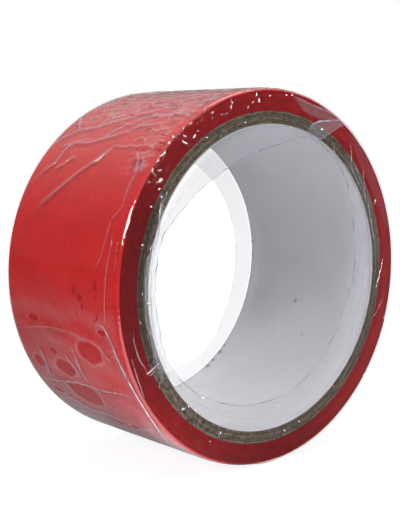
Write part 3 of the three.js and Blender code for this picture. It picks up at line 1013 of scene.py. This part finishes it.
def crest_grid(height, width, cloud, points, seed):
    """The sharp crest of a crease on the rim."""
    flat, rise, haze = ribbon([(a * RIM_DEGREE, y) for a, y in points], 0.3, 0.50 * width, seed)
    angle, along = flat[..., 0] / RIM_DEGREE, flat[..., 1]
    radius = rim_sheet(angle, along)[0].max(axis=1, keepdims=True)
    stood = np.minimum(radius - 0.03 + (0.03 + 0.5 * height) * rise, RIM_TOP)
    return skin(angle, stood, along, (1.0, haze * cloud, 0.0), close_columns=False)


def fold_grid(height, width, cloud, points, seed):
    """A gathered fold of film that stands up from the front face as a small arch, thin at both ends."""
    flat, rise, haze = ribbon([on_end(a, r) for a, r in points], 0.25, width, seed)
    angle = np.degrees(np.arctan2(flat[..., 1], flat[..., 0]))
    radius = np.hypot(flat[..., 0], flat[..., 1])
    ground = np.abs(face_sheet(FRONT, angle, radius)[0]).min(axis=1, keepdims=True)
    stood = np.minimum(ground + height * rise, FACE_TOP)
    return skin(angle, radius, -stood, (1.0, haze * cloud, 0.0), close_columns=False)


def hem_grid(side, columns):
    """The film's free edge, rolled over into a thin cord that reads as a fine dark line."""
    circle = ring_of_angles(columns).T
    lip = lip_radius(side, circle)
    turn = np.linspace(0, 2 * math.pi, HEM_SIDES, endpoint=False)[None, :]
    uneven = noise(circle / 6, circle * 0 + 5, 300, 60)
    thick = np.clip(0.08 + 0.10 * uneven, 0.02, 0.16)
    along = face_sheet(side, circle, lip)[0] + thick * np.sin(turn)
    dark = np.clip(0.7 + uneven, 0.2, 1.0) if side == FRONT else 0.15
    radius = lip + thick * np.cos(turn)
    return skin(circle.repeat(HEM_SIDES, 1), radius, along, (1.0, 0.04, dark), close_rows=True)


def dent_grid(angle, radius, length, heading, seed):
    """A small facet in the front film, tipped upwards (further the lower it lies), with steep sides."""
    rng = np.random.default_rng(seed)
    turn = math.radians(heading + angle + 90)
    around = np.linspace(0, 2 * math.pi, 14, endpoint=False)[None, :]
    ragged = 1 + 0.45 * noise(around * 1.3, around * 0 + seed, seed)
    reach = np.array([0.05, 0.5, 1.0, 1.2])[:, None] * ragged
    u = reach * np.cos(around) * length * 0.6
    v = reach * np.sin(around) * (0.12 + length * rng.uniform(0.09, 0.20))
    x = u * math.cos(turn) - v * math.sin(turn)
    z = u * math.sin(turn) + v * math.cos(turn)
    rise_x = 0.13 + 0.07 * math.cos(math.radians(angle)) + rng.uniform(-0.025, 0.025)
    rise_z = -0.37 + 0.13 * math.sin(math.radians(angle)) + rng.uniform(-0.025, 0.025)
    flat = rise_x * x + rise_z * z
    flat = flat - flat[:3].min() + 0.02
    flat[3] = 0
    middle_x, middle_z = on_end(angle, radius)
    angles = np.degrees(np.arctan2(middle_z + z, middle_x + x))
    radii = np.hypot(middle_x + x, middle_z + z)
    ground = np.abs(face_sheet(FRONT, angles, radii)[0]).min()
    return skin(angles, radii, -np.minimum(ground + flat, FACE_TOP), (1.0, 0.02, 0.0))


def make_film():
    film = film_material()
    crests = [crest_grid(*crease, seed=500 + k) for k, crease in enumerate(CREASES)]
    folds = [fold_grid(*fold, seed=600 + k) for k, fold in enumerate(FRONT_FOLDS)]
    dents = [dent_grid(*dent, seed=700 + k) for k, dent in enumerate(DENTS)]
    front = end_grid(FRONT, columns=1200, lip_rows=16, face_rows=36, bend_rows=10)
    rear = end_grid(REAR, columns=600, lip_rows=14, face_rows=20, bend_rows=6)
    pieces = {
        "film_rim": [rim_grid(rows=120)] + crests,
        "film_front": [front, hem_grid(FRONT, columns=600)] + folds + dents,
        "film_rear": [rear, hem_grid(REAR, columns=400)],
    }
    for name, grids in pieces.items():
        place(mesh_piece(name, grids), film, "clear_film", "shrink_film")


# ---- studio

CAMERA_ANGLES = (-40.2, 6.95)  # azimuth and elevation
CAMERA_DISTANCE = 0.2887
CAMERA_OFFSET = (-0.00208, 0.00228)  # right and up of the roll's centre
LENS, SENSOR = 75.0, 36.0
LIGHT_DISTANCE = 0.9
FLOOR_RADIUS = 8.0

# Oval lights: (name, azimuth, elevation, width, height, brightness)
LIGHTS = [("window", -87, 27, 0.28, 0.28, 19), ("sparkle", 30, 25, 0.20, 0.20, 16),
          ("overhead", 117, 67, 0.40, 0.40, 2.5), ("key", -8, 50, 0.30, 0.26, 10)]


def aim(name, data, azimuth, elevation, distance, shift=(0, 0)):
    """An object so many metres from the roll's centre that looks at it, then shifted right and up.

    Azimuth 0 is in front of the roll, and 90 on its right.
    """
    turn, tilt = math.radians(azimuth), math.radians(elevation)
    back = np.array([math.sin(turn) * math.cos(tilt), -math.cos(turn) * math.cos(tilt), math.sin(tilt)])
    right = np.array([math.cos(turn), math.sin(turn), 0.0])
    up = np.cross(back, right)
    aimed = bpy.data.objects.new(name, data)
    aimed.location = np.array([0, 0, AXIS_HEIGHT]) + back * distance + right * shift[0] + up * shift[1]
    aimed.rotation_euler = (math.pi / 2 - tilt, 0, turn)
    bpy.context.scene.collection.objects.link(aimed)
    return aimed


def make_camera():
    data = bpy.data.cameras.new("camera")
    data.lens = LENS
    data.sensor_width = SENSOR
    data.clip_start = 0.01
    bpy.context.scene.camera = aim("camera", data, *CAMERA_ANGLES, CAMERA_DISTANCE, CAMERA_OFFSET)


def make_floor():
    spokes, rings = 64, 12
    turn = np.radians(ring_of_angles(spokes).repeat(rings, 0))
    reach = np.geomspace(0.01, FLOOR_RADIUS, rings)[:, None].repeat(spokes, 1)
    points = np.stack([reach * np.cos(turn), reach * np.sin(turn), np.zeros_like(reach)], axis=-1)
    floor = mesh_piece("studio_floor", [(points, False, True, {})])
    add_faces(floor, [range(spokes)], upwards=True)
    floor.data.materials.append(floor_material())


def make_lights():
    for name, azimuth, elevation, width, height, brightness in LIGHTS:
        data = bpy.data.lights.new(name, "AREA")
        data.shape = "ELLIPSE"
        data.size, data.size_y = width, height
        data.energy = brightness * math.pi * math.pi / 4 * width * height
        aim(name, data, azimuth, elevation, LIGHT_DISTANCE).visible_camera = False


def make_world():
    """A dim room with a bright screen above and behind the roll, and a pure white background."""
    nodes = Nodes(bpy.data.worlds.new("studio"), "ShaderNodeOutputWorld")
    right, behind, up = nodes.split(nodes.position("Generated"))
    screen = right.ramp(-0.80, 0.00) * behind.ramp(0.20, 0.50) * up.ramp(0.20, 0.48)
    strength = up.ramp(0.5, 0.95) * 0.70 + 0.17 + screen * 0.40
    room = nodes.add("ShaderNodeBackground", {"Color": WHITE, "Strength": strength})
    white = nodes.add("ShaderNodeBackground", {"Color": WHITE, "Strength": 1.0})
    bpy.context.scene.world = nodes.seen_apart(room, white)


make_camera()
make_floor()
make_world()
make_lights()
bpy.context.scene.view_settings.view_transform = "Standard"
make_core()
make_tape()
make_film()
